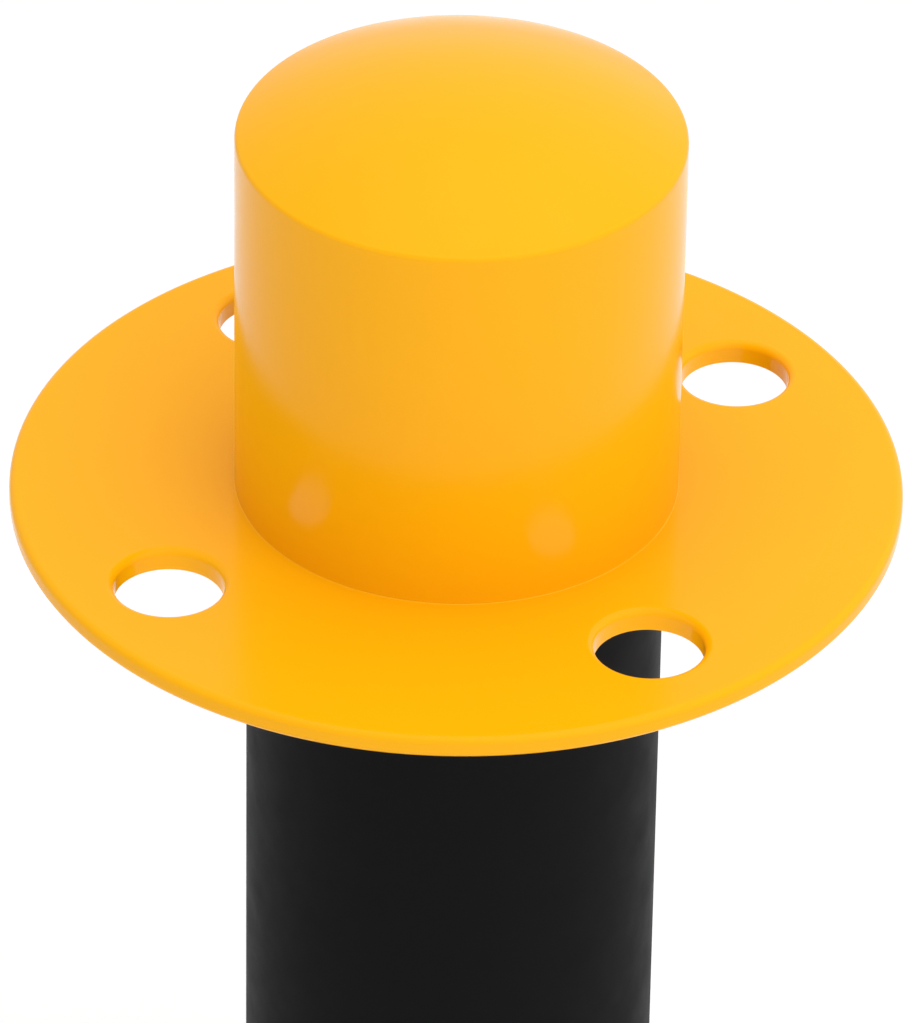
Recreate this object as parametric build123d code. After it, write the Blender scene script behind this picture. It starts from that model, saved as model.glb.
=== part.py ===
from build123d import *
import os
from math import sqrt

# In-ground steel safety bollard with a lift-off flanged head, in millimetres.
# The origin is the centre of the flange's underside, which is the finished ground level. +Z is up.

# Driving dimensions: head
HEAD_TUBE_DIAMETER = 114.3
HEAD_TUBE_WALL = 2.6
CREASE_HEIGHT = 110.0           # ground level to the crease between tube and dome
DOME_RISE = 15.0                # crease to the crown of the dome
CAP_THICKNESS = 3.0
CREASE_RADIUS = 1.6
FLANGE_DIAMETER = 230.0
FLANGE_THICKNESS = 6.0
FLANGE_EDGE_RADIUS = 2.0
BOLT_CIRCLE_DIAMETER = 175.0
BOLT_HOLE_DIAMETER = 28.0
BOLT_HOLE_LIP_RADIUS = 2.0      # on the upper side only, where the punch went in
BOLT_COUNT = 4
FIRST_BOLT_ANGLE = 45.0
BUFFER_DIAMETER = 80.0
BUFFER_EDGE_RADIUS = 1.5
GLUE_LINE = 0.2                 # between the buffer and the underside of the dome

# Driving dimensions: ground tube
GROUND_TUBE_DIAMETER = 108.0
GROUND_TUBE_WALL = 4.0
GROUND_TUBE_TOP = 104.0         # height of its upper end, inside the head
BURIED_DEPTH = 400.0            # ground level to the underside of the foot plate
FOOT_PLATE_SIDE = 200.0
FOOT_PLATE_THICKNESS = 8.0
FOOT_PLATE_CORNER_RADIUS = 12.0
DRAIN_HOLE_DIAMETER = 25.0
ANCHOR_BAR_DIAMETER = 12.0
ANCHOR_BAR_LENGTH = 190.0
ANCHOR_BAR_DRILL_GAP = 0.5      # all round a bar, where it passes through the tube's wall
UPPER_ANCHOR_DEPTH = 336.0      # ground level to the upper bar's axis
ANCHOR_BAR_PITCH = 16.0         # from one bar's axis down to the other's
PLUG_DISC_DIAMETER = 105.0
PLUG_DISC_THICKNESS = 3.0
PLUG_SHANK_LENGTH = 18.0
PLUG_WALL = 2.7
PLUG_RIB_GAP = 0.1              # between a rib and the tube's bore
PLUG_RIB_HEIGHT = 1.7
PLUG_RIB_WIDTH = 1.6
PLUG_RIB_COUNT = 3
BUFFER_GAP = 0.5                # between the plug and the buffer that would press on it

# Driving dimensions: welds
SEAM_HALF_WIDTH = 1.8           # cap seam, ground flush
SEAM_ROOT_HALF_WIDTH = 0.4
SEAM_DEPTH = 2.2
FLANGE_TOP_LEG = 1.2
UNDERSIDE_RECESS = 3.0          # the head tube stops this far above the flange's underside
UNDERSIDE_WELD_CLEARANCE = 0.3  # the weld stays this far above the flange's underside
UNDERSIDE_WELD_STEP = 0.2       # and this far outside the head tube's bore
FOOT_WELD_LEG = 5.0
BAR_WELD_LEG = 4.0

# Worked out from the dimensions above
HEAD_RADIUS = HEAD_TUBE_DIAMETER / 2
HEAD_BORE = HEAD_RADIUS - HEAD_TUBE_WALL
SEAM_HEIGHT = CREASE_HEIGHT - CAP_THICKNESS
DOME_RADIUS = (HEAD_RADIUS ** 2 + DOME_RISE ** 2) / (2 * DOME_RISE)
DOME_CENTRE = CREASE_HEIGHT + DOME_RISE - DOME_RADIUS
TUBE_RADIUS = GROUND_TUBE_DIAMETER / 2
TUBE_BORE = TUBE_RADIUS - GROUND_TUBE_WALL
FOOT_TOP = FOOT_PLATE_THICKNESS - BURIED_DEPTH
BAR_RADIUS = ANCHOR_BAR_DIAMETER / 2
BAR_AXES = {
    "upper_anchor_bar": (Axis.X, -UPPER_ANCHOR_DEPTH),
    "lower_anchor_bar": (Axis.Y, -UPPER_ANCHOR_DEPTH - ANCHOR_BAR_PITCH),
}


def turned(*corners):
    """A solid of revolution about Z whose section has these (radius, height) corners."""
    outline = Polyline(*[(radius, 0, height) for radius, height in corners], close=True)
    return revolve(make_face(outline), Axis.Z)


def pipe(outer, inner, bottom, top):
    """A plain round tube, by its radii and the heights of its ends."""
    return turned((inner, bottom), (outer, bottom), (outer, top), (inner, top))


def post(radius, bottom, top):
    """A plain round solid, by its radius and the heights of its ends."""
    return Pos(0, 0, bottom) * Cylinder(radius, top - bottom, align=(Align.CENTER, Align.CENTER, Align.MIN))


def crossing(shape, axis, height):
    """Lays a shape that is centred on Z along X or Y instead, at a height."""
    turn = Rot(0, 90, 0) if axis == Axis.X else Rot(90, 0, 0)
    return Pos(0, 0, height) * turn * shape


def edges_at(solid, radius, height):
    """The round edges of this radius at this height, wherever their centres are."""
    circles = solid.edges().filter_by(GeomType.CIRCLE)
    return [e for e in circles if abs(e.radius - radius) < 0.01 and abs(e.center().Z - height) < 0.01]


def cap_weld():
    """The V-shaped seam between cap and tube, ground flush with both."""
    root = HEAD_RADIUS - SEAM_DEPTH
    return turned(
        (HEAD_RADIUS, SEAM_HEIGHT - SEAM_HALF_WIDTH),
        (HEAD_RADIUS, SEAM_HEIGHT + SEAM_HALF_WIDTH),
        (root, SEAM_HEIGHT + SEAM_ROOT_HALF_WIDTH),
        (root, SEAM_HEIGHT - SEAM_ROOT_HALF_WIDTH),
    )


def head_tube():
    """The yellow tube, bevelled at the top for the seam."""
    return pipe(HEAD_RADIUS, HEAD_BORE, UNDERSIDE_RECESS, SEAM_HEIGHT) - cap_weld()


def dome_cap():
    """A pressed cap: part of a spherical shell with a crisp crease round its rim."""
    blank = post(HEAD_RADIUS, SEAM_HEIGHT, CREASE_HEIGHT + DOME_RISE)
    solid = blank & Pos(0, 0, DOME_CENTRE) * Sphere(DOME_RADIUS)
    solid = fillet(edges_at(solid, HEAD_RADIUS, CREASE_HEIGHT), CREASE_RADIUS)
    solid -= Pos(0, 0, DOME_CENTRE) * Sphere(DOME_RADIUS - CAP_THICKNESS)
    return solid - cap_weld()


def ground_flange():
    """The round plate at ground level, with a rounded rim and bolt holes rounded on top."""
    radius = FLANGE_DIAMETER / 2
    hole = BOLT_HOLE_DIAMETER / 2
    plate = post(radius, 0, FLANGE_THICKNESS)
    holes = PolarLocations(BOLT_CIRCLE_DIAMETER / 2, BOLT_COUNT, FIRST_BOLT_ANGLE)
    for place in holes:
        plate -= place * post(hole, 0, FLANGE_THICKNESS)
    for height in (0, FLANGE_THICKNESS):
        plate = fillet(edges_at(plate, radius, height), FLANGE_EDGE_RADIUS)
    plate = fillet(edges_at(plate, hole, FLANGE_THICKNESS), BOLT_HOLE_LIP_RADIUS)
    return plate - post(HEAD_RADIUS, 0, FLANGE_THICKNESS)


def flange_top_weld():
    """The small fillet between the flange's upper face and the tube."""
    return turned(
        (HEAD_RADIUS, FLANGE_THICKNESS),
        (HEAD_RADIUS + FLANGE_TOP_LEG, FLANGE_THICKNESS),
        (HEAD_RADIUS, FLANGE_THICKNESS + FLANGE_TOP_LEG),
    )


def flange_underside_weld():
    """The fillet under the tube's lower end, inside the flange's bore, clear of the ground."""
    return turned(
        (HEAD_RADIUS, UNDERSIDE_WELD_CLEARANCE),
        (HEAD_RADIUS, UNDERSIDE_RECESS),
        (HEAD_BORE + UNDERSIDE_WELD_STEP, UNDERSIDE_RECESS),
    )


def buffer_pad():
    """The rubber pad glued under the dome: flat below, domed above."""
    bottom = GROUND_TUBE_TOP + PLUG_DISC_THICKNESS + BUFFER_GAP
    radius = BUFFER_DIAMETER / 2
    pad = post(radius, bottom, CREASE_HEIGHT + DOME_RISE)
    pad = fillet(edges_at(pad, radius, bottom), BUFFER_EDGE_RADIUS)
    return pad & Pos(0, 0, DOME_CENTRE) * Sphere(DOME_RADIUS - CAP_THICKNESS - GLUE_LINE)


def ground_tube():
    """The black tube that is set in the ground, drilled across for the two anchor bars."""
    tube = pipe(TUBE_RADIUS, TUBE_BORE, FOOT_TOP, GROUND_TUBE_TOP)
    for axis, height in BAR_AXES.values():
        drill = Cylinder(BAR_RADIUS + ANCHOR_BAR_DRILL_GAP, ANCHOR_BAR_LENGTH)
        tube -= crossing(drill, axis, height)
    return tube


def tube_plug():
    """The ribbed plastic plug in the tube's upper end, hollow from below."""
    seat = GROUND_TUBE_TOP
    disc_radius = PLUG_DISC_DIAMETER / 2
    rib_radius = TUBE_BORE - PLUG_RIB_GAP
    shank_radius = rib_radius - PLUG_RIB_HEIGHT
    disc = post(disc_radius, seat, seat + PLUG_DISC_THICKNESS)
    plug = fillet(edges_at(disc, disc_radius, seat + PLUG_DISC_THICKNESS), PLUG_DISC_THICKNESS / 2)
    plug += pipe(shank_radius, shank_radius - PLUG_WALL, seat - PLUG_SHANK_LENGTH, seat)
    for rib in range(PLUG_RIB_COUNT):
        middle = seat - PLUG_SHANK_LENGTH * (rib + 0.5) / PLUG_RIB_COUNT
        plug += turned(
            (shank_radius - PLUG_WALL / 2, middle - PLUG_RIB_WIDTH),
            (shank_radius, middle - PLUG_RIB_WIDTH),
            (rib_radius, middle + PLUG_RIB_WIDTH / 2),
            (rib_radius, middle + PLUG_RIB_WIDTH),
            (shank_radius - PLUG_WALL / 2, middle + PLUG_RIB_WIDTH),
        )
    return plug


def foot_plate():
    """The square plate at the bottom, with a drain hole under the tube."""
    half = FOOT_PLATE_THICKNESS / 2
    plate = Pos(0, 0, FOOT_TOP - half) * Box(FOOT_PLATE_SIDE, FOOT_PLATE_SIDE, FOOT_PLATE_THICKNESS)
    plate = fillet(plate.edges().filter_by(Axis.Z), FOOT_PLATE_CORNER_RADIUS)
    return plate - post(DRAIN_HOLE_DIAMETER / 2, -BURIED_DEPTH, FOOT_TOP)


def foot_weld():
    """The fillet between the ground tube and the foot plate."""
    return turned(
        (TUBE_RADIUS, FOOT_TOP),
        (TUBE_RADIUS + FOOT_WELD_LEG, FOOT_TOP),
        (TUBE_RADIUS, FOOT_TOP + FOOT_WELD_LEG),
    )


def anchor_bar(axis, height):
    """A round bar through both walls of the ground tube."""
    return crossing(Cylinder(BAR_RADIUS, ANCHOR_BAR_LENGTH), axis, height)


def anchor_bar_welds():
    """The four fillets where the bars leave the ground tube, shaped to its curved wall."""
    foot_radius = BAR_RADIUS + BAR_WELD_LEG
    drop = TUBE_RADIUS - sqrt(TUBE_RADIUS ** 2 - foot_radius ** 2)
    cone = Cone(foot_radius, BAR_RADIUS, drop + BAR_WELD_LEG, align=(Align.CENTER, Align.CENTER, Align.MIN))
    welds = []
    for axis, height in BAR_AXES.values():
        for side in (0, 180):
            weld = crossing(Rot(side, 0, 0) * Pos(0, 0, TUBE_RADIUS - drop) * cone, axis, height)
            weld -= post(TUBE_RADIUS, height - foot_radius, height + foot_radius)
            weld -= anchor_bar(axis, height)
            welds += weld.solids()
    return Compound(children=welds)


NODES = {
    "head_tube": head_tube(),
    "dome_cap": dome_cap(),
    "cap_weld": cap_weld(),
    "ground_flange": ground_flange(),
    "flange_top_weld": flange_top_weld(),
    "flange_underside_weld": flange_underside_weld(),
    "buffer_pad": buffer_pad(),
    "ground_tube": ground_tube(),
    "tube_plug": tube_plug(),
    "foot_plate": foot_plate(),
    "foot_weld": foot_weld(),
    "anchor_bar_welds": anchor_bar_welds(),
}
for bar, (bar_axis, bar_height) in BAR_AXES.items():
    NODES[bar] = anchor_bar(bar_axis, bar_height)

os.makedirs("parts", exist_ok=True)
for name, shape in NODES.items():
    export_step(shape, "parts/" + name + ".step")
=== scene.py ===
"""Looks of the in-ground steel safety bollard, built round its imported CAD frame.

Metres, +Z up, ground level at z = 0.
"""

import math

import bmesh
import bpy
from mathutils import Matrix, Vector, noise
from mathutils.geometry import tessellate_polygon


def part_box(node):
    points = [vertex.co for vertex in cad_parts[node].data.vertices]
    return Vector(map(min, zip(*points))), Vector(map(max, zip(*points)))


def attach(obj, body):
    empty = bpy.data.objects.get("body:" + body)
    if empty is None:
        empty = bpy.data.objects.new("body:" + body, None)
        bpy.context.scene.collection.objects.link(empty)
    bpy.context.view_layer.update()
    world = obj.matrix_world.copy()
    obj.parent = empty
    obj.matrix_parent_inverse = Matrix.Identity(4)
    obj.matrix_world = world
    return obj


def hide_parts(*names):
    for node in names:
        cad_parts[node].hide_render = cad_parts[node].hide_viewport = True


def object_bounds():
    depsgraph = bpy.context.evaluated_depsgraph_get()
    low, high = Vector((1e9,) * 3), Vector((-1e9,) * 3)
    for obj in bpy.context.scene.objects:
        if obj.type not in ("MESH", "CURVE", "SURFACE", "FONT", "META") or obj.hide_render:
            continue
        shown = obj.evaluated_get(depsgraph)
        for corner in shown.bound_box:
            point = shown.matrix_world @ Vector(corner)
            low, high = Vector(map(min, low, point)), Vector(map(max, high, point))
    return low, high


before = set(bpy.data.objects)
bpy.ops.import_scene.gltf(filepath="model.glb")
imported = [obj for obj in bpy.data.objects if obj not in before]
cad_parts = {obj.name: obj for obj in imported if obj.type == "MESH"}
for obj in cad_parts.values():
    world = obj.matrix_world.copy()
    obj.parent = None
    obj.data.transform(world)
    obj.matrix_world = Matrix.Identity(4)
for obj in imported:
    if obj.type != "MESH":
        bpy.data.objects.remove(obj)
cad_low, cad_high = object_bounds()

MM = 0.001
ROUND = 256                     # facets round a large turned piece
SMALL_ROUND = 96                # facets round a bolt hole or a bar
ARC_STEPS = 10


# ---------------------------------------------------------------- sizes, from the frame

def half_width(node):
    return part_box(node)[1].x


GROUND_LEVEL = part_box("ground_flange")[0].z
FLANGE_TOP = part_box("ground_flange")[1].z
FLANGE_R = half_width("ground_flange")
HEAD_R = half_width("head_tube")
HEAD_WALL = 2.6 * MM
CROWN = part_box("dome_cap")[1].z
DOME_RISE = 15.0 * MM
CAP_THICKNESS = 3.0 * MM
CREASE_R = 1.6 * MM
FLANGE_EDGE_R = 2.0 * MM
HOLE_R = 14.0 * MM
HOLE_LIP_R = 2.0 * MM
BOLT_CIRCLE_R = 87.5 * MM
BOLT_ANGLES = [45, 135, 225, 315]
TUBE_R = half_width("ground_tube")
TUBE_WALL = 4.0 * MM
TUBE_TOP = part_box("ground_tube")[1].z
FOOT_LOW, FOOT_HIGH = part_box("foot_plate")
FOOT_TOP = FOOT_HIGH.z
FOOT_CORNER_R = 12.0 * MM
FOOT_EDGE_R = 0.8 * MM
DRAIN_R = 12.5 * MM
BAR_R = 6.0 * MM
BAR_GAP = 0.5 * MM
BARS = {"upper_anchor_bar": "X", "lower_anchor_bar": "Y"}
BUFFER_GROOVES = [12 * MM, 22 * MM, 32 * MM]
BUFFER_GROOVE_HALF = 0.6 * MM   # half a groove's width, and its depth
BUFFER_EDGE_R = 1.5 * MM
SEAM_DEPTH = 2.2 * MM           # how far the cap's seam reaches into the wall
SEAM_PREP = 1.6 * MM            # rise of the tube's sloped end, from its outside to its bore
FILLET_SHARE = 0.25             # of the flange weld's leg left showing once the coat has filled the corner
UNDERSIDE_WELD_STEP = 0.2 * MM  # the underside bead stays this far outside the tube's bore
TUBE_EDGE = 0.5 * MM            # bevel at the ground tube's upper end
ON_WALL = 0.2 * MM              # a face this near a wall of the drilled tube belongs to it
PLUG_EDGE_R = 1.5 * MM
PLUG_RIB_GAP = 0.1 * MM
PLUG_RIB_HEIGHT = 1.7 * MM
PLUG_RIB_HALF = 1.6 * MM        # half a rib's length along the shank
PLUG_WALL = 2.7 * MM
PLUG_RIBS = 3
GATE_R = 4.0 * MM
GATE_DEPTH = 0.5 * MM
GATE_STUB = (1.0 * MM, 0.6 * MM)    # radii of the stub's foot and top
BAR_EASE = 0.7 * MM
BAR_FACE_DISH = 0.2 * MM        # how hollow the cropped ends are
BAR_WELD_LEG = 4.0 * MM
CORNER_STEPS = 10
BEAD_STATIONS = 6               # stations along each weld ripple
BEAD_ACROSS = 8                 # faces from toe to toe
UNDERSIDE_RIPPLE = 1.7 * MM     # each weld's ripple pitch
FOOT_RIPPLE = 2.6 * MM
BAR_RIPPLE = 2.0 * MM


# ---------------------------------------------------------------- mesh building

class Skin:
    """Collects faces with a shading normal at each corner. Corners in the same place share a vertex."""

    def __init__(self):
        self.points, self.index, self.faces, self.normals = [], {}, [], []

    def vertex(self, point):
        key = tuple(round(c, 8) for c in point)
        if key not in self.index:
            self.index[key] = len(self.points)
            self.points.append(point)
        return self.index[key]

    def face(self, corners):
        """corners are (point, normal) pairs, counter-clockwise from outside."""
        numbers, normals = [], []
        for point, normal in corners:
            number = self.vertex(point)
            if number not in numbers:
                numbers.append(number)
                normals.append(normal)
        if len(numbers) > 2:
            self.faces.append(numbers)
            self.normals += normals

    def piece(self, name):
        mesh = bpy.data.meshes.new(name)
        mesh.from_pydata(self.points, [], self.faces)
        mesh.normals_split_custom_set(self.normals)
        mesh.update()
        made = bpy.data.objects.new(name, mesh)
        bpy.context.scene.collection.objects.link(made)
        return made


def straight(start, end):
    """A straight run of a section. Walked with the solid on the left, so its normal points right."""
    (r0, z0), (r1, z1) = start, end
    length = math.hypot(r1 - r0, z1 - z0)
    normal = ((z1 - z0) / length, (r0 - r1) / length)
    return [(r0, z0, *normal), (r1, z1, *normal)]


def arc(centre, radius, start, end, steps=ARC_STEPS):
    """An arc of a section, in degrees. Turning left it bulges out of the solid, and turning right
    it is hollow."""
    side = 1 if end > start else -1
    run = []
    for step in range(steps + 1):
        angle = math.radians(start + (end - start) * step / steps)
        c, s = math.cos(angle), math.sin(angle)
        run.append((centre[0] + radius * c, centre[1] + radius * s, side * c, side * s))
    return run


def spin(skin, runs, facets, centre=(0, 0)):
    """Turns the runs of a section about a vertical axis."""
    angles = [2 * math.pi * k / facets for k in range(facets)]
    facing = [(math.cos(a), math.sin(a)) for a in angles]
    for run in runs:
        for (r0, z0, a0, b0), (r1, z1, a1, b1) in zip(run, run[1:]):
            for k in range(facets):
                corners = []
                for (c, s), r, z, a, b in (
                    (facing[k], r0, z0, a0, b0),
                    (facing[(k + 1) % facets], r0, z0, a0, b0),
                    (facing[(k + 1) % facets], r1, z1, a1, b1),
                    (facing[k], r1, z1, a1, b1),
                ):
                    point = (centre[0] + r * c, centre[1] + r * s, z)
                    corners.append((point, (a * c, a * s, b)))
                skin.face(corners)


def turned(name, runs, facets=ROUND):
    """A solid of revolution about the bollard's axis."""
    skin = Skin()
    spin(skin, runs, facets)
    return skin.piece(name)


def loop(radius, z, facets, centre=(0, 0)):
    return [
        (centre[0] + radius * math.cos(2 * math.pi * k / facets),
         centre[1] + radius * math.sin(2 * math.pi * k / facets), z)
        for k in range(facets)
    ]


def flat(skin, outlines, up):
    """Fills between an outer loop and its holes with a level face."""
    points = [p for outline in outlines for p in outline]
    normal = (0, 0, 1 if up else -1)
    for triangle in tessellate_polygon([[Vector(p) for p in outline] for outline in outlines]):
        a, b, c = (points[i] for i in triangle)
        rising = (b[0] - a[0]) * (c[1] - a[1]) - (b[1] - a[1]) * (c[0] - a[0]) > 0
        corners = (a, b, c) if rising == up else (a, c, b)
        skin.face([(p, normal) for p in corners])


def compass(degrees):
    """The cosine and sine of an angle in degrees."""
    turn = math.radians(degrees)
    return math.cos(turn), math.sin(turn)


def ring_count(radius, pitch):
    """Stations round a ring, so that each weld ripple gets BEAD_STATIONS of them."""
    return round(2 * math.pi * radius / pitch) * BEAD_STATIONS


def bead(name, rings, bulge, depth, pitch):
    """Weld beads. Each ring is a closed run of (root, first toe, second toe); the face between the toes
    swells by bulge and carries crescent ripples of this depth and pitch."""
    points, faces = [], []
    for ring in rings:
        start = len(points)
        travelled = 0.0
        before = (ring[-1][1] + ring[-1][2]) / 2
        for root, first, second in ring:
            middle = (first + second) / 2
            travelled += (middle - before).length
            before = middle
            away = (middle - root).normalized()
            points.append(root)
            for step in range(BEAD_ACROSS + 1):
                v = step / BEAD_ACROSS
                swell = 4 * v * (1 - v)
                drift = noise.noise(Vector((travelled / (4 * pitch), 2.7, 0))) * 0.6
                phase = travelled / pitch - 0.35 * (1 - swell) + drift
                ripple = (0.5 + 0.5 * math.cos(2 * math.pi * phase)) * min(1.0, 2 * swell)
                spot = first.lerp(second, v)
                points.append(spot + away * (bulge * swell - depth * (1 - ripple) * min(1.0, 2 * swell)))
        size = BEAD_ACROSS + 2
        total = len(ring)
        for k in range(total):
            for j in range(size):
                near, far = start + k * size, start + (k + 1) % total * size
                following = (j + 1) % size
                faces.append((near + j, near + following, far + following, far + j))
    mesh = bpy.data.meshes.new(name)
    mesh.from_pydata(points, [], faces)
    work = bmesh.new()
    work.from_mesh(mesh)
    bmesh.ops.recalc_face_normals(work, faces=work.faces)
    work.to_mesh(mesh)
    work.free()
    mesh.shade_smooth()
    mesh.set_sharp_from_angle(angle=math.radians(50))
    made = bpy.data.objects.new(name, mesh)
    bpy.context.scene.collection.objects.link(made)
    return made


def lying(axis, height):
    """The placing of a piece turned about Z that lies along X or Y instead, at a height."""
    turn = Matrix.Rotation(math.radians(90), 4, "Y" if axis == "X" else "X")
    return Matrix.Translation((0, 0, height)) @ turn


def bar_height(bar):
    low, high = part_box(bar)
    return (low.z + high.z) / 2


# ---------------------------------------------------------------- materials

def new_material(name):
    material = bpy.data.materials.new(name)
    material.use_nodes = True
    nodes = material.node_tree.nodes
    return material, nodes, material.node_tree.links, nodes["Principled BSDF"]


def textured(nodes, links, kind, scale, detail=2.0, roughness=0.5):
    """A noise or Voronoi texture in the piece's own coordinates, in cells per metre."""
    if "Place" not in nodes:
        place = nodes.new("ShaderNodeTexCoord")
        place.name = "Place"
    texture = nodes.new(kind)
    texture.inputs["Scale"].default_value = scale
    if "Detail" in texture.inputs:
        texture.inputs["Detail"].default_value = detail
        texture.inputs["Roughness"].default_value = roughness
    links.new(nodes["Place"].outputs["Object"], texture.inputs["Vector"])
    return texture


def ranged(nodes, links, source, low, high, start=0.0, end=1.0):
    """Maps a texture's value from start..end to low..high, clamped."""
    change = nodes.new("ShaderNodeMapRange")
    change.inputs["From Min"].default_value = start
    change.inputs["From Max"].default_value = end
    change.inputs["To Min"].default_value = low
    change.inputs["To Max"].default_value = high
    links.new(source, change.inputs["Value"])
    return change.outputs["Result"]


def blended(nodes, links, factor, first, second):
    """A colour between two, by a factor."""
    mix = nodes.new("ShaderNodeMix")
    mix.data_type = "RGBA"
    links.new(factor, mix.inputs["Factor"])
    mix.inputs[6].default_value = (*first, 1)
    mix.inputs[7].default_value = (*second, 1)
    return mix.outputs[2]


def bumped(nodes, links, shader, heights):
    """Adds bumps one on another. heights are (source, depth in metres)."""
    below = None
    for source, depth in heights:
        bump = nodes.new("ShaderNodeBump")
        bump.inputs["Distance"].default_value = depth
        links.new(source, bump.inputs["Height"])
        if below:
            links.new(below.outputs["Normal"], bump.inputs["Normal"])
        below = bump
    links.new(below.outputs["Normal"], shader.inputs["Normal"])


def yellow_coat():
    """Glossy polyester powder coat: a faint orange peel, slow changes of shade, and a little haze."""
    material, nodes, links, shader = new_material("yellow_powder_coat")
    shade = textured(nodes, links, "ShaderNodeTexNoise", 14, 3)
    colour = blended(nodes, links, shade.outputs["Fac"], (0.92, 0.415, 0.002), (0.95, 0.440, 0.003))
    links.new(colour, shader.inputs["Base Color"])
    haze = textured(nodes, links, "ShaderNodeTexNoise", 60, 4, 0.6)
    links.new(ranged(nodes, links, haze.outputs["Fac"], 0.13, 0.20, 0.3, 0.7), shader.inputs["Roughness"])
    shader.inputs["Specular IOR Level"].default_value = 0.15
    peel = textured(nodes, links, "ShaderNodeTexNoise", 420, 1)
    bumped(nodes, links, shader, [(peel.outputs["Fac"], 0.02 * MM)])
    return material


def black_coat():
    """Satin black protective coat on the steel that goes in the ground."""
    material, nodes, links, shader = new_material("black_coating")
    shade = textured(nodes, links, "ShaderNodeTexNoise", 9, 4)
    colour = blended(nodes, links, shade.outputs["Fac"], (0.0060, 0.0060, 0.0066), (0.0085, 0.0085, 0.0093))
    links.new(colour, shader.inputs["Base Color"])
    haze = textured(nodes, links, "ShaderNodeTexNoise", 80, 4, 0.6)
    links.new(ranged(nodes, links, haze.outputs["Fac"], 0.46, 0.56, 0.3, 0.7), shader.inputs["Roughness"])
    shader.inputs["Specular IOR Level"].default_value = 0.03
    grain = textured(nodes, links, "ShaderNodeTexNoise", 900, 2)
    bumped(nodes, links, shader, [(grain.outputs["Fac"], 0.015 * MM)])
    return material


def rubber():
    """Matt moulded rubber."""
    material, nodes, links, shader = new_material("buffer_rubber")
    bloom = textured(nodes, links, "ShaderNodeTexNoise", 35, 4)
    colour = blended(nodes, links, bloom.outputs["Fac"], (0.014, 0.014, 0.014), (0.030, 0.029, 0.028))
    links.new(colour, shader.inputs["Base Color"])
    links.new(ranged(nodes, links, bloom.outputs["Fac"], 0.6, 0.8), shader.inputs["Roughness"])
    grain = textured(nodes, links, "ShaderNodeTexNoise", 1500, 2)
    bumped(nodes, links, shader, [(grain.outputs["Fac"], 0.02 * MM)])
    return material


def plastic():
    """Moulded black polyethylene with a fine spark-eroded texture."""
    material, nodes, links, shader = new_material("plug_plastic")
    shade = textured(nodes, links, "ShaderNodeTexNoise", 20, 3)
    colour = blended(nodes, links, shade.outputs["Fac"], (0.018, 0.018, 0.019), (0.026, 0.026, 0.028))
    links.new(colour, shader.inputs["Base Color"])
    links.new(ranged(nodes, links, shade.outputs["Fac"], 0.42, 0.55), shader.inputs["Roughness"])
    grain = textured(nodes, links, "ShaderNodeTexVoronoi", 1600)
    bumped(nodes, links, shader, [(grain.outputs["Distance"], 0.02 * MM)])
    return material


def finish_piece(made, body, slot_name, material, *nodes_replaced):
    """Gives a piece its material, its body and the CAD nodes it stands for. Its slot name is not used."""
    made.data.materials.clear()
    made.data.materials.append(material)
    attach(made, body)
    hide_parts(*nodes_replaced)


YELLOW = yellow_coat()
BLACK = black_coat()
RUBBER = rubber()
PLASTIC = plastic()


# ---------------------------------------------------------------- the head

def make_head_tube():
    """The tube, its upper end sloped for the cap's seam."""
    seam_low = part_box("cap_weld")[0].z
    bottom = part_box("head_tube")[0].z
    bore = HEAD_R - HEAD_WALL
    runs = [
        straight((bore, bottom), (HEAD_R, bottom)),
        straight((HEAD_R, bottom), (HEAD_R, seam_low)),
        straight((HEAD_R, seam_low), (bore, seam_low + SEAM_PREP)),
        straight((bore, seam_low + SEAM_PREP), (bore, bottom)),
    ]
    made = turned("head_tube_coated", runs)
    finish_piece(made, "head", "yellow_powder_coat", YELLOW, "head_tube")


def make_seam():
    """The cap's weld seam, ground flush and coated over."""
    low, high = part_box("cap_weld")
    depth = HEAD_R - SEAM_DEPTH
    middle = (low.z + high.z) / 2
    runs = [
        straight((depth, middle), (HEAD_R, low.z)),
        straight((HEAD_R, low.z), (HEAD_R, high.z)),
        straight((HEAD_R, high.z), (depth, middle)),
    ]
    made = turned("cap_seam_ground_flush", runs)
    finish_piece(made, "head", "yellow_powder_coat", YELLOW, "cap_weld")


def dome_radius():
    """The radius of the sphere that the dome's outside is part of."""
    return (HEAD_R ** 2 + DOME_RISE ** 2) / (2 * DOME_RISE)


def make_dome():
    """The pressed cap, with a small rounding at its crease."""
    radius = dome_radius()
    centre = CROWN - radius
    seam_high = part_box("cap_weld")[1].z
    # The crease's rounding touches the wall and the dome: its centre is CREASE_R inside both.
    round_r = HEAD_R - CREASE_R
    round_z = centre + math.sqrt((radius - CREASE_R) ** 2 - round_r ** 2)
    tilt = math.degrees(math.atan2(round_z - centre, round_r))
    inner = radius - CAP_THICKNESS
    inner_r = HEAD_R - SEAM_DEPTH
    inner_tilt = math.degrees(math.acos(inner_r / inner))
    inner_z = centre + math.sqrt(inner ** 2 - inner_r ** 2)
    runs = [
        straight((inner_r, inner_z), (HEAD_R, seam_high)),
        straight((HEAD_R, seam_high), (HEAD_R, round_z)),
        arc((round_r, round_z), CREASE_R, 0, tilt, 16),
        arc((0, centre), radius, tilt, 90, 48),
        arc((0, centre), inner, 90, inner_tilt, 32),
    ]
    made = turned("dome_cap_coated", runs)
    finish_piece(made, "head", "yellow_powder_coat", YELLOW, "dome_cap")


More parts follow.
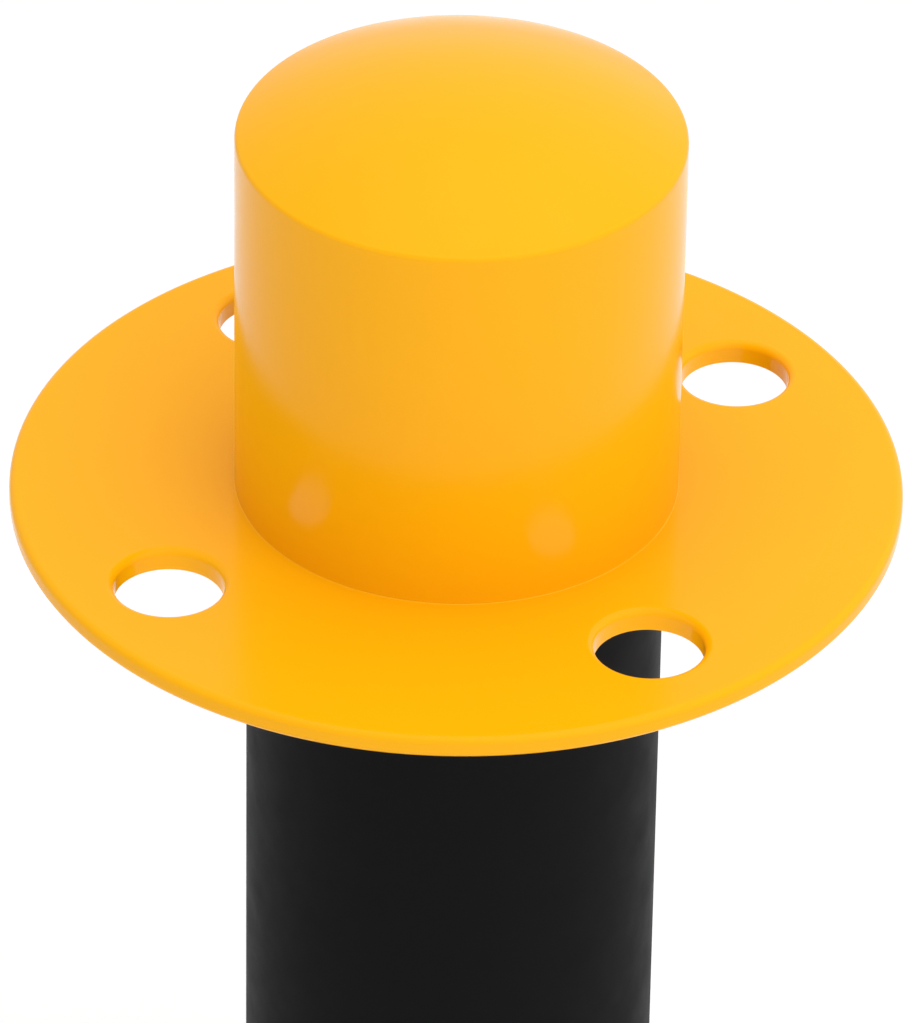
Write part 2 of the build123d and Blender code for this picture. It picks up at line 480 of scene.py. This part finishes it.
def make_flange():
    """The flat plate: level faces with holes, a rounded rim, and bolt holes rounded on top."""
    skin = Skin()
    low, high, edge = GROUND_LEVEL, FLANGE_TOP, FLANGE_EDGE_R
    inset = FLANGE_R - edge
    rim = [
        arc((inset, low + edge), edge, -90, 0),
        straight((FLANGE_R, low + edge), (FLANGE_R, high - edge)),
        arc((inset, high - edge), edge, 0, 90),
    ]
    spin(skin, rim, ROUND)
    spin(skin, [straight((HEAD_R, high), (HEAD_R, low))], ROUND)
    centres = []
    for angle in BOLT_ANGLES:
        c, s = compass(angle)
        centres.append((BOLT_CIRCLE_R * c, BOLT_CIRCLE_R * s))
    lip = HOLE_R + HOLE_LIP_R
    for centre in centres:
        walls = [
            arc((lip, high - HOLE_LIP_R), HOLE_LIP_R, 90, 180),
            straight((HOLE_R, high - HOLE_LIP_R), (HOLE_R, low)),
        ]
        spin(skin, walls, SMALL_ROUND, centre)
    for z, hole, up in ((high, lip, True), (low, HOLE_R, False)):
        outlines = [loop(inset, z, ROUND), loop(HEAD_R, z, ROUND)]
        outlines += [loop(hole, z, SMALL_ROUND, centre) for centre in centres]
        flat(skin, outlines, up)
    made = skin.piece("ground_flange_coated")
    finish_piece(made, "head", "yellow_powder_coat", YELLOW, "ground_flange")


def make_flange_fillet():
    """The small fillet where the tube meets the flange, smoothed by the coat."""
    leg = (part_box("flange_top_weld")[1].x - HEAD_R) * FILLET_SHARE
    runs = [
        straight((HEAD_R, FLANGE_TOP), (HEAD_R + leg, FLANGE_TOP)),
        arc((HEAD_R + leg, FLANGE_TOP + leg), leg, 270, 180),
        straight((HEAD_R, FLANGE_TOP + leg), (HEAD_R, FLANGE_TOP)),
    ]
    made = turned("flange_fillet_coated", runs)
    finish_piece(made, "head", "yellow_powder_coat", YELLOW, "flange_top_weld")


def make_underside_weld():
    """The weld under the tube's lower end, a small rippled bead inside the flange's bore."""
    low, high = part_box("flange_underside_weld")
    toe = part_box("head_tube")[0].z
    inner = HEAD_R - HEAD_WALL + UNDERSIDE_WELD_STEP
    stations = []
    count = ring_count(HEAD_R, UNDERSIDE_RIPPLE)
    for k in range(count):
        c, s = compass(360 * k / count)
        stations.append((
            Vector((HEAD_R * c, HEAD_R * s, toe)),
            Vector((inner * c, inner * s, toe)),
            Vector((HEAD_R * c, HEAD_R * s, low.z)),
        ))
    made = bead("flange_underside_bead", [stations], 0.15 * MM, 0.10 * MM, UNDERSIDE_RIPPLE)
    finish_piece(made, "head", "yellow_powder_coat", YELLOW, "flange_underside_weld")


def make_buffer():
    """The moulded pad: domed above to fit the cap, with three shallow grooves in its flat face."""
    low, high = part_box("buffer_pad")
    radius, edge, groove = high.x, BUFFER_EDGE_R, BUFFER_GROOVE_HALF
    top_z = CROWN - dome_radius()
    top_r = high.z - top_z
    rim = math.sqrt(top_r ** 2 - radius ** 2) + top_z
    tilt = math.degrees(math.acos(radius / top_r))
    runs = []
    inner = 0.0
    for middle in BUFFER_GROOVES:
        start, end = middle - groove, middle + groove
        runs += [
            straight((inner, low.z), (start, low.z)),
            straight((start, low.z), (start + groove / 3, low.z + groove)),
            straight((start + groove / 3, low.z + groove), (end - groove / 3, low.z + groove)),
            straight((end - groove / 3, low.z + groove), (end, low.z)),
        ]
        inner = end
    runs += [
        straight((inner, low.z), (radius - edge, low.z)),
        arc((radius - edge, low.z + edge), edge, -90, 0),
        straight((radius, low.z + edge), (radius, rim)),
        arc((0, top_z), top_r, tilt, 90, 24),
    ]
    made = turned("buffer_pad_moulded", runs, 128)
    finish_piece(made, "head", "buffer_rubber", RUBBER, "buffer_pad")


# ---------------------------------------------------------------- the ground post

def make_ground_tube():
    """The black tube, drilled for the bars. Its shading follows the true cylinder after drilling."""
    low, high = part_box("ground_tube")
    bore, edge = TUBE_R - TUBE_WALL, TUBE_EDGE
    reach, drill_r = TUBE_R * 1.5, BAR_R + BAR_GAP
    runs = [
        straight((bore, low.z), (TUBE_R, low.z)),
        straight((TUBE_R, low.z), (TUBE_R, high.z - edge)),
        straight((TUBE_R, high.z - edge), (TUBE_R - edge, high.z)),
        straight((TUBE_R - edge, high.z), (bore + edge, high.z)),
        straight((bore + edge, high.z), (bore, high.z - edge)),
        straight((bore, high.z - edge), (bore, low.z)),
    ]
    made = turned("ground_tube_coated", runs)
    for bar, axis in BARS.items():
        drill = turned("drill", [
            straight((0, -reach), (drill_r, -reach)),
            straight((drill_r, -reach), (drill_r, reach)),
            straight((drill_r, reach), (0, reach)),
        ], SMALL_ROUND)
        drill.data.transform(lying(axis, bar_height(bar)))
        cut = made.modifiers.new("drilled", "BOOLEAN")
        cut.object, cut.operation, cut.solver = drill, "DIFFERENCE", "EXACT"
        solid = bpy.data.meshes.new_from_object(made.evaluated_get(bpy.context.evaluated_depsgraph_get()))
        made.modifiers.clear()
        made.data = solid
        bpy.data.objects.remove(drill)
    normals = []
    for polygon in solid.polygons:
        middle = polygon.center
        radius = math.hypot(middle.x, middle.y)
        wall = abs(polygon.normal.z) < 0.1
        outward = polygon.normal.x * middle.x + polygon.normal.y * middle.y
        outer = wall and abs(radius - TUBE_R) < ON_WALL and polygon.normal.dot(middle) > 0
        inner = wall and abs(radius - bore) < ON_WALL and outward < 0
        for number in polygon.vertices:
            spot = solid.vertices[number].co
            across = Vector((spot.x, spot.y, 0)).normalized()
            normals.append(across if outer else -across if inner else polygon.normal.copy())
    solid.normals_split_custom_set(normals)
    finish_piece(made, "ground_post", "black_coating", BLACK, "ground_tube")


def make_plug():
    """The moulded plug: a rounded disc with a sunken gate mark, and a hollow shank with three ribs."""
    low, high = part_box("tube_plug")
    disc_r, seat, round_r = high.x, TUBE_TOP, PLUG_EDGE_R
    rib_r = TUBE_R - TUBE_WALL - PLUG_RIB_GAP
    shank_r = rib_r - PLUG_RIB_HEIGHT
    inner_r = shank_r - PLUG_WALL
    gate_r, gate_depth = GATE_R, GATE_DEPTH
    stub_foot, stub_top = GATE_STUB
    runs = [straight((inner_r, low.z), (shank_r, low.z))]
    below = low.z
    for rib in range(PLUG_RIBS):
        middle = seat - (seat - low.z) * (PLUG_RIBS - 0.5 - rib) / PLUG_RIBS
        runs += [
            straight((shank_r, below), (shank_r, middle - PLUG_RIB_HALF)),
            straight((shank_r, middle - PLUG_RIB_HALF), (rib_r, middle + PLUG_RIB_HALF / 2)),
            straight((rib_r, middle + PLUG_RIB_HALF / 2), (rib_r, middle + PLUG_RIB_HALF)),
            straight((rib_r, middle + PLUG_RIB_HALF), (shank_r, middle + PLUG_RIB_HALF)),
        ]
        below = middle + PLUG_RIB_HALF
    runs += [
        straight((shank_r, below), (shank_r, seat)),
        straight((shank_r, seat), (disc_r, seat)),
        straight((disc_r, seat), (disc_r, high.z - round_r)),
        arc((disc_r - round_r, high.z - round_r), round_r, 0, 90),
        straight((disc_r - round_r, high.z), (gate_r, high.z)),
        straight((gate_r, high.z), (gate_r - gate_depth, high.z - gate_depth)),
        straight((gate_r - gate_depth, high.z - gate_depth), (stub_foot, high.z - gate_depth)),
        straight((stub_foot, high.z - gate_depth), (stub_top, high.z - gate_depth / 4)),
        straight((stub_top, high.z - gate_depth / 4), (0, high.z - gate_depth / 4)),
        straight((0, seat), (inner_r, seat)),
        straight((inner_r, seat), (inner_r, low.z)),
    ]
    made = turned("tube_plug_moulded", runs, 192)
    finish_piece(made, "ground_post", "plug_plastic", PLASTIC, "tube_plug")


def rounded_square(half, corner, inset):
    """Points round a rounded square, each with the way it faces."""
    points = []
    for quarter in range(4):
        turn = 90 * quarter
        reach = half - corner
        c, s = compass(turn)
        centre = Vector((reach * c - reach * s, reach * s + reach * c, 0))
        for step in range(CORNER_STEPS + 1):
            a, b = compass(turn + 90 * step / CORNER_STEPS)
            points.append((centre.x + (corner - inset) * a, centre.y + (corner - inset) * b, a, b))
    return points


def make_foot_plate():
    """The square plate, its edges eased, with a drain hole."""
    skin = Skin()
    low, high, edge = FOOT_LOW.z, FOOT_HIGH.z, FOOT_EDGE_R
    half = FOOT_HIGH.x
    section = arc((0, low + edge), edge, -90, 0, 4)
    section += arc((0, high - edge), edge, 0, 90, 4)
    for (r0, z0, a0, b0), (r1, z1, a1, b1) in zip(section, section[1:]):
        lower = rounded_square(half, FOOT_CORNER_R, edge - r0)
        upper = rounded_square(half, FOOT_CORNER_R, edge - r1)
        for k in range(len(lower)):
            following = (k + 1) % len(lower)
            skin.face([
                ((x, y, z), (a * nx, a * ny, b))
                for (x, y, nx, ny), z, a, b in (
                    (lower[k], z0, a0, b0),
                    (lower[following], z0, a0, b0),
                    (upper[following], z1, a1, b1),
                    (upper[k], z1, a1, b1),
                )
            ])
    drain = [
        arc((DRAIN_R + edge, high - edge), edge, 90, 180, 4),
        straight((DRAIN_R, high - edge), (DRAIN_R, low + edge)),
        arc((DRAIN_R + edge, low + edge), edge, 180, 270, 4),
    ]
    spin(skin, drain, SMALL_ROUND)
    outer = rounded_square(half, FOOT_CORNER_R, edge)
    for z, up in ((high, True), (low, False)):
        flat(skin, [[(x, y, z) for x, y, _, _ in outer], loop(DRAIN_R + edge, z, SMALL_ROUND)], up)
    made = skin.piece("foot_plate_coated")
    finish_piece(made, "ground_post", "black_coating", BLACK, "foot_plate")


def make_foot_weld():
    """The fillet weld round the foot of the tube, with its ripples."""
    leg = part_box("foot_weld")[1].x - TUBE_R
    stations = []
    count = ring_count(TUBE_R, FOOT_RIPPLE)
    for k in range(count):
        c, s = compass(360 * k / count)
        stations.append((
            Vector((TUBE_R * c, TUBE_R * s, FOOT_TOP)),
            Vector(((TUBE_R + leg) * c, (TUBE_R + leg) * s, FOOT_TOP)),
            Vector((TUBE_R * c, TUBE_R * s, FOOT_TOP + leg)),
        ))
    made = bead("foot_weld_bead", [stations], 0.5 * MM, 0.28 * MM, FOOT_RIPPLE)
    finish_piece(made, "ground_post", "black_coating", BLACK, "foot_weld")


def make_bar(name):
    """A hot-rolled round bar with cropped ends: a rounded rim and a slightly hollow face."""
    low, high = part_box(name)
    half = max(high.x, high.y)
    ease = BAR_EASE
    runs = [
        straight((0, -half + BAR_FACE_DISH), (BAR_R - ease, -half)),
        arc((BAR_R - ease, -half + ease), ease, -90, 0, 5),
        straight((BAR_R, -half + ease), (BAR_R, half - ease)),
        arc((BAR_R - ease, half - ease), ease, 0, 90, 5),
        straight((BAR_R - ease, half), (0, half - BAR_FACE_DISH)),
    ]
    made = turned(name + "_cropped", runs, SMALL_ROUND)
    made.data.transform(lying(BARS[name], bar_height(name)))
    finish_piece(made, "ground_post", "black_coating", BLACK, name)


def make_bar_welds():
    """The four saddle-shaped welds where the bars leave the tube."""
    leg = BAR_WELD_LEG
    rings = []
    for bar, axis in BARS.items():
        height = bar_height(bar)
        for side in (1, -1):
            stations = []
            count = ring_count(BAR_R + leg / 2, BAR_RIPPLE)
            for k in range(count):
                c, s = compass(side * 360 * k / count)
                root = math.sqrt(TUBE_R ** 2 - (BAR_R * c) ** 2)
                toe_r = BAR_R + leg * 0.85
                toe = math.sqrt(TUBE_R ** 2 - (toe_r * c) ** 2)
                points = []
                for reach, radius in ((root, BAR_R), (toe, toe_r), (TUBE_R + leg * 0.9, BAR_R)):
                    across, out = radius * c, side * reach
                    flat_pair = (out, across) if axis == "X" else (-across, out)
                    points.append(Vector((*flat_pair, height + radius * s)))
                stations.append(points)
            rings.append(stations)
    made = bead("anchor_bar_beads", rings, 0.35 * MM, 0.22 * MM, BAR_RIPPLE)
    finish_piece(made, "ground_post", "black_coating", BLACK, "anchor_bar_welds")


make_head_tube()
make_seam()
make_dome()
make_flange()
make_flange_fillet()
make_underside_weld()
make_buffer()
make_ground_tube()
make_plug()
make_foot_plate()
make_foot_weld()
make_bar_welds()
for bar_name in BARS:
    make_bar(bar_name)


# ---------------------------------------------------------------- stage, light and camera

SKY_STRENGTH = 0.82
SKY_LEAN = (0.18, 0.14, 0.0)     # added along +X and +Y
LAMP_SIZE = 2.4
LAMP_DISTANCE = 2.5
FLOOR_REACH = 60.0              # metres out from the bollard
LAMPS = {                       # azimuth, elevation in degrees, power in watts
    "top_box": (0, 88, 24),
    "key_box": (45, 36, 17),
}
CAMERA_AZIMUTH = 10.77          # degrees, as its elevation and roll are
CAMERA_ELEVATION = 34.89
CAMERA_DISTANCE = 2.506
CAMERA_ROLL = 0.915
CAMERA_LENS_MM = 341.8
AIM_HEIGHT = FLANGE_TOP - 11.2 * MM
AIM_SIDE = 0.57 * MM


def toward(azimuth, elevation):
    """The way out from the bollard. Azimuth 0 is -Y, about where the camera is, and 90 is +X."""
    turn, rise = math.radians(azimuth), math.radians(elevation)
    level = math.cos(rise)
    return Vector((math.sin(turn) * level, -math.cos(turn) * level, math.sin(rise)))


def make_floor():
    """A pale matt floor under the foot plate."""
    mesh = bpy.data.meshes.new("studio_floor")
    reach = FLOOR_REACH
    corners = [(-reach, -reach), (reach, -reach), (reach, reach), (-reach, reach)]
    mesh.from_pydata([(x, y, cad_low.z) for x, y in corners], [], [(0, 1, 2, 3)])
    floor = bpy.data.objects.new("studio_floor", mesh)
    bpy.context.scene.collection.objects.link(floor)
    material, _, _, shader = new_material("studio_floor")
    shader.inputs["Base Color"].default_value = (0.95, 0.95, 0.95, 1)
    shader.inputs["Roughness"].default_value = 1.0
    shader.inputs["Specular IOR Level"].default_value = 0.0
    mesh.materials.append(material)


def make_world():
    """A pale room, a little brighter to the right and behind than to the left and in front."""
    world = bpy.data.worlds.new("studio")
    world.use_nodes = True
    nodes, links = world.node_tree.nodes, world.node_tree.links
    background = nodes["Background"]
    background.inputs["Color"].default_value = (1, 1, 1, 1)
    direction = nodes.new("ShaderNodeTexCoord")
    lean = nodes.new("ShaderNodeVectorMath")
    lean.operation = "DOT_PRODUCT"
    lean.inputs[1].default_value = SKY_LEAN
    strength = nodes.new("ShaderNodeMath")
    strength.operation = "ADD"
    strength.inputs[1].default_value = SKY_STRENGTH
    links.new(direction.outputs["Generated"], lean.inputs[0])
    links.new(lean.outputs["Value"], strength.inputs[0])
    links.new(strength.outputs["Value"], background.inputs["Strength"])
    bpy.context.scene.world = world


def make_lamp(name, azimuth, elevation, power):
    """A square soft box aimed at the origin."""
    away = toward(azimuth, elevation)
    light = bpy.data.lights.new(name, "AREA")
    light.shape = "SQUARE"
    light.size = LAMP_SIZE
    light.energy = power
    lamp = bpy.data.objects.new(name, light)
    lamp.location = away * LAMP_DISTANCE
    lamp.visible_glossy = False     # the coat mirrors the plain room, not the boxes
    lamp.rotation_mode = "QUATERNION"
    lamp.rotation_quaternion = (-away).to_track_quat("-Z", "Y")
    bpy.context.scene.collection.objects.link(lamp)


def make_camera():
    """The camera, aimed at a point just under the flange's upper face."""
    camera = bpy.data.objects.new("camera", bpy.data.cameras.new("camera"))
    camera.data.lens = CAMERA_LENS_MM
    camera.data.sensor_width = 36
    camera.data.clip_start, camera.data.clip_end = 0.05, 100
    away = toward(CAMERA_AZIMUTH, CAMERA_ELEVATION)
    c, s = compass(CAMERA_AZIMUTH)
    aim = Vector((AIM_SIDE * c, AIM_SIDE * s, AIM_HEIGHT))
    camera.location = aim + away * CAMERA_DISTANCE
    camera.rotation_mode = "QUATERNION"
    level = (-away).to_track_quat("-Z", "Y")
    roll = Matrix.Rotation(math.radians(CAMERA_ROLL), 4, "Z").to_quaternion()
    camera.rotation_quaternion = level @ roll
    bpy.context.scene.collection.objects.link(camera)
    bpy.context.scene.camera = camera


make_floor()
make_world()
for lamp_name, (lamp_azimuth, lamp_elevation, lamp_power) in LAMPS.items():
    make_lamp(lamp_name, lamp_azimuth, lamp_elevation, lamp_power)
make_camera()
bpy.context.scene.view_settings.view_transform = "Standard"
